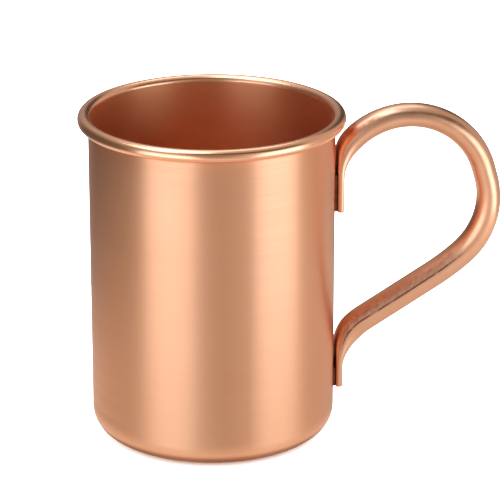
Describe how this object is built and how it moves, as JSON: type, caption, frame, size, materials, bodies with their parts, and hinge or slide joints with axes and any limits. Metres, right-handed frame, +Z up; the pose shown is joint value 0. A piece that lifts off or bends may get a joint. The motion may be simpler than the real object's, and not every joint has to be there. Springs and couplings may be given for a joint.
{
  "type": "mug",
  "caption": "Straight-sided copper mug with a rolled rim and a bent tube handle whose flattened ends are brazed to the wall.",
  "frame": {"origin": "centre of the flat underside of the base, on the cup's axis", "axes": "+Z up along the cup's axis, +X from the cup's axis towards the handle, +Y across the handle"},
  "size_m": [0.1297, 0.0814, 0.1027],
  "materials": {
    "copper_sheet": "satin, fine brushed lines round the wall",
    "copper_tube": "satin, lightly marked",
    "braze_metal": "dull, heat-darkened"
  },
  "bodies": {
    "root": {"cup_body": "copper_sheet", "handle": "copper_tube", "upper_braze": "braze_metal", "lower_braze": "braze_metal"}
  },
  "joints": []
}
